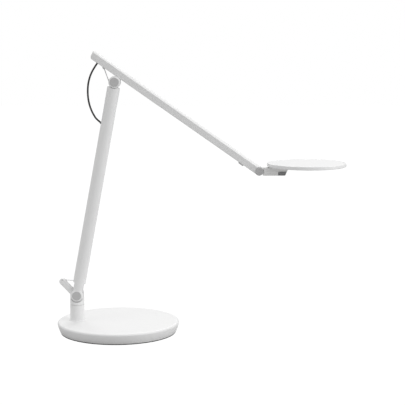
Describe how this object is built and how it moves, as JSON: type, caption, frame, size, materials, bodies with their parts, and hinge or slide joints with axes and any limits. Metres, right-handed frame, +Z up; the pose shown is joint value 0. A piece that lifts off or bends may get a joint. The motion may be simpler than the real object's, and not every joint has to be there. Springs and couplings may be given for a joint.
{
  "type": "counterweight balance desk lamp",
  "caption": "White balanced-arm desk lamp with a round weighted base, two slim arms on sprung joints and a thin round head.",
  "frame": {"origin": "on the desk, under the centre of the round base", "axes": "+X from the base's centre the way the arm reaches at rest, +Y to the far side as seen in the picture, +Z up"},
  "size_m": [0.4727, 0.2, 0.4618],
  "materials": {
    "white_paint": "satin",
    "white_plastic": "satin",
    "grey_cap": "satin",
    "dark_button": "satin",
    "rubber_pad": "matte",
    "cast_iron": "rough",
    "steel": "brushed",
    "cast_aluminium": "painted satin",
    "steel_wire": "drawn",
    "brass_bush": "machined",
    "bearing_plastic": "satin",
    "black_cord": "matte",
    "clear_acrylic": "clear",
    "milky_diffuser": "translucent",
    "circuit_board": "solder mask"
  },
  "bodies": {
    "base": {"base_cover": "white_paint", "base_weight": "cast_iron", "base_plate": "steel", "base_screws": "steel", "foot_pad": "rubber_pad", "power_inlet": "dark_button", "swivel_bush": "brass_bush", "swivel_washer": "bearing_plastic"},
    "swivel": {"swivel_head": "cast_aluminium", "swivel_spindle": "steel", "spindle_washer": "steel", "spindle_nut": "steel", "balance_lever": "cast_aluminium", "lever_pin": "steel"},
    "lower_arm": {"lower_arm_fork": "cast_aluminium", "lower_arm_tube": "cast_aluminium", "elbow_knuckle": "cast_aluminium", "lower_grommet": "dark_button", "base_caps": "grey_cap", "base_pin": "steel", "wire_roller": "bearing_plastic", "roller_pin": "steel", "base_spring": "steel", "base_spring_anchor": "steel", "base_wire": "steel_wire"},
    "upper_arm": {"elbow_wire": "steel_wire", "upper_arm_shell": "cast_aluminium", "tail_cap": "white_plastic", "upper_grommet": "dark_button", "wire_bushing": "grey_cap", "elbow_roller": "bearing_plastic", "elbow_roller_pin": "steel", "elbow_spring": "steel", "elbow_spring_anchor": "steel", "anchor_plug": "grey_cap", "elbow_bracket": "cast_aluminium", "bracket_screws": "steel", "bracket_nut_plate": "steel", "elbow_caps": "grey_cap", "elbow_pin": "steel", "arm_end_fork": "cast_aluminium", "hinge_pin": "steel", "hinge_caps": "grey_cap", "elbow_cord": "black_cord"},
    "head": {"neck_housing": "white_plastic", "head_screws": "steel", "dimmer_board": "circuit_board", "head_shell": "cast_aluminium", "reflector": "white_plastic", "light_guide": "clear_acrylic", "diffuser": "milky_diffuser", "light_strip": "circuit_board"},
    "button": {"dimmer_button": "dark_button"}
  },
  "joints": [
    {"name": "base_swivel", "type": "hinge", "parent": "base", "child": "swivel", "pos_m": [-0.0678, 0, 0.0456], "axis": [0, 0, 1], "range_deg": [-90, 90]},
    {"name": "base_tilt", "type": "hinge", "parent": "swivel", "child": "lower_arm", "pos_m": [-0.0678, 0, 0.0609], "axis": [0, 1, 0], "range_deg": [-18, 30], "deforming": ["base_wire"]},
    {"name": "elbow_tilt", "type": "hinge", "parent": "lower_arm", "child": "upper_arm", "pos_m": [-0.0027, 0, 0.4108], "axis": [0, 1, 0], "range_deg": [-55, 20], "deforming": ["elbow_wire", "elbow_cord"]},
    {"name": "head_tilt", "type": "hinge", "parent": "upper_arm", "child": "head", "pos_m": [0.23087, 0, 0.26666], "axis": [0, 1, 0], "range_deg": [-35, 50]},
    {"name": "button_press", "type": "slide", "parent": "head", "child": "button", "axis": [0, 1, 0], "range_m": [0, 0.0008], "stiffness_N_per_m": 400}
  ]
}
